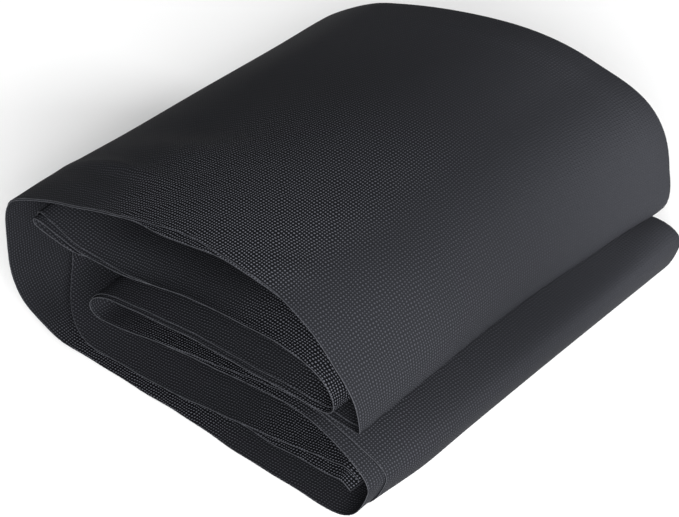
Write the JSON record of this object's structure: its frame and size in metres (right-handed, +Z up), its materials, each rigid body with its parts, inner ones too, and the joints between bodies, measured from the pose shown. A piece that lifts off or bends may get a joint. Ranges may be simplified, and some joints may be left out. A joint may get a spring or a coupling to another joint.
{
  "type": "folded insect netting",
  "caption": "Cut length of fine black insect netting, laid back and forth into a soft bundle with rounded side folds and open ends that show the layers' edges.",
  "frame": {"origin": "on the surface that the bundle lies on, under the middle of its footprint", "axes": "+Z up; +Y along the folds, from the open front end to the far end; +X across the folds, towards the side with an upper and a lower rounded fold"},
  "size_m": [0.2232, 0.228, 0.109],
  "materials": {
    "netting": "matt knitted polyester net"
  },
  "bodies": {
    "root": {"netting": "netting"}
  },
  "joints": []
}
